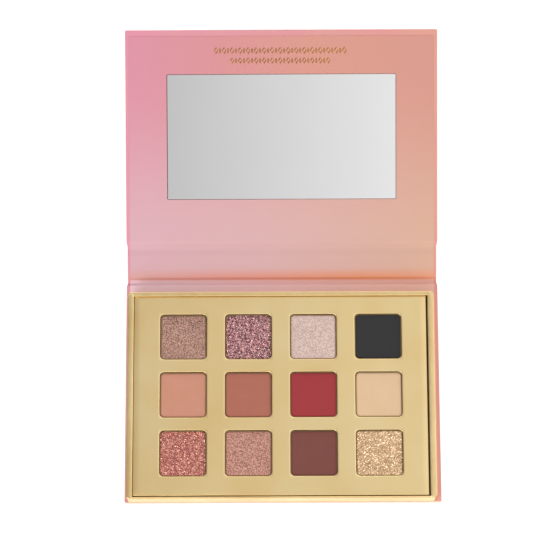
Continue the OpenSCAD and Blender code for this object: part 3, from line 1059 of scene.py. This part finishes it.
def scattered_flakes(tree, given):
    """flakes of film lying at random on a powder, each with a tint of its own"""
    up = node(tree, "GeometryNodeInputNormal").outputs[0]
    rise = node(tree, "ShaderNodeSeparateXYZ", {0: up}).outputs["Z"]
    top = node(tree, "FunctionNodeCompare", {0: rise, 1: 0.5}, operation="GREATER_THAN")
    spread = node(tree, "GeometryNodeDistributePointsOnFaces",
                  {"Mesh": given["Powder"], "Selection": top.outputs[0],
                   "Density": given["Density"], "Seed": given["Seed"]})
    flake = node(tree, "GeometryNodeMeshCone",
                 {"Vertices": 5, "Radius Top": given["Inner"], "Radius Bottom": given["Outer"],
                  "Depth": given["Thickness"]})
    tilt = node(tree, "FunctionNodeRandomValue",
                {0: (-0.5, -0.5, 0), 1: (0.5, 0.5, 6.28), "Seed": given["Seed"]},
                data_type="FLOAT_VECTOR")
    size = node(tree, "FunctionNodeRandomValue", {2: 0.5, 3: 1.25, "Seed": given["Seed"]})
    laid_down = node(tree, "GeometryNodeInstanceOnPoints",
                     {"Points": spread.outputs[0], "Instance": flake.outputs[0],
                      "Rotation": tilt.outputs[0], "Scale": size.outputs[1]})
    own_tint = node(tree, "FunctionNodeRandomValue", {2: 0.0, 3: 0.6, "Seed": given["Seed"]})
    place = node(tree, "GeometryNodeInputPosition").outputs[0]
    clump = node(tree, "ShaderNodeTexNoise", {"Vector": place, "Scale": 1 / (0.9 * mm)}).outputs[0]
    tint = maths(tree, "MULTIPLY_ADD", clump, 1.6, -0.6)
    tint = maths(tree, "ADD", tint, own_tint.outputs[1])
    return node(tree, "GeometryNodeStoreNamedAttribute",
                {"Geometry": laid_down.outputs[0], "Name": "tint", "Value": tint},
                data_type="FLOAT", domain="INSTANCE").outputs[0]


flake_inputs = [("Powder", "Geometry"), ("Density", "Float"), ("Outer", "Float"),
                ("Inner", "Float"), ("Thickness", "Float"), ("Seed", "Int")]
for seed, spot in enumerate(spots, start=1):
    kind, dark, light = shades[spot]
    cake = powder_cake(spot, kind, powder_finish(spot, kind, dark, light), seed)
    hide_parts("powder_" + spot)
    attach(cake, "base")
    if kind == "glitter":
        values = {"Density": 6.5e6, "Outer": 0.27 * mm, "Inner": 0.23 * mm,
                  "Thickness": 0.02 * mm, "Seed": seed}
        flakes = grown("flakes_" + spot, cake.data.copy(), scattered_flakes, flake_inputs,
                       values, flake_finish(spot, flake_tints[spot]))
        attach(flakes, "base")


# ---- studio ----
# A pale floor, a soft sky that is brighter on the right, a large soft lamp at the front
# left with a weak one at the right, and a camera high in front of the palette.

floor_finish, floor_surface = new_finish("studio_floor", 0.6)
grain = speckle(floor_finish, own_place(floor_finish), 2 * mm, 2)
paint(floor_finish, floor_surface, ramp(floor_finish, grain, (0.0, "f2f2f2"), (1.0, "f5f5f5")))
floor_surface.inputs["Emission Color"].default_value = (1, 1, 1, 1)
floor_surface.inputs["Emission Strength"].default_value = 0.36
floor_half = 6.0
floor_mesh = bpy.data.meshes.new("studio_floor")
floor_mesh.from_pydata([(floor_half * x, floor_half * y, 0)
                        for x, y in ((-1, -1), (1, -1), (1, 1), (-1, 1))], [], [(0, 1, 2, 3)])
floor_mesh.materials.append(floor_finish)
floor = bpy.data.objects.new("studio_floor", floor_mesh)
bpy.context.scene.collection.objects.link(floor)

sky = bpy.data.worlds.new("studio")
sky.use_nodes = True
bpy.context.scene.world = sky
tree = sky.node_tree
direction = node(tree, "ShaderNodeTexCoord").outputs["Generated"]
towards = node(tree, "ShaderNodeSeparateXYZ", {0: direction}).outputs
# each part of the sky: a direction, from, to, and the brightness at each of these
brightness = 0.0
for place, start, end, low, high in (
        (towards["X"], -0.15, 0.15, 0.44, 1.2),
        (maths(tree, "ABSOLUTE", towards["X"]), 0.3, 0.65, 0, -0.35),
        (towards["Y"], -0.5, -0.85, 0, 0.3),
        (towards["Y"], 0.5, 0.85, 0, 1.4),
        (towards["Z"], 0.3, 0.05, 0, 0.75)):
    part = between(tree, place, start, end, low, high, "SMOOTHSTEP")
    brightness = maths(tree, "ADD", part, brightness)
background = tree.nodes["Background"]
background.inputs["Color"].default_value = (1, 1, 1, 1)
tree.links.new(brightness, background.inputs["Strength"])


def lamp(name, place, size, watts):
    light = bpy.data.lights.new(name, "AREA")
    light.size = size
    light.energy = watts
    made = bpy.data.objects.new(name, light)
    made.location = place
    made.rotation_euler = (spine_axis - Vector(place)).to_track_quat("-Z", "Y").to_euler()
    bpy.context.scene.collection.objects.link(made)


lamp("front_lamp", (-0.75, -0.85, 1.0), 0.8, 12.5)
lamp("side_lamp", (1.2, 0.3, 0.7), 0.7, 1.2)

view_height = radians(74.3)
view_side = radians(0.06)
view_roll = radians(-0.293)
view_distance = 1.4104
aim = spine_axis + Vector((-1.05, 0.27, 2.2)) * mm
back = Vector((sin(view_side) * cos(view_height), -cos(view_side) * cos(view_height),
               sin(view_height)))
camera_data = bpy.data.cameras.new("camera")
camera_data.lens = 180.6
camera_data.sensor_width = 36
camera_data.clip_end = 50
camera = bpy.data.objects.new("camera", camera_data)
camera.location = aim + back * view_distance
level = back.to_track_quat("Z", "Y")
camera.rotation_mode = "QUATERNION"
camera.rotation_quaternion = level
camera.rotation_quaternion.rotate(Quaternion(back, view_roll))
bpy.context.scene.collection.objects.link(camera)
bpy.context.scene.camera = camera
bpy.context.scene.view_settings.view_transform = "Standard"
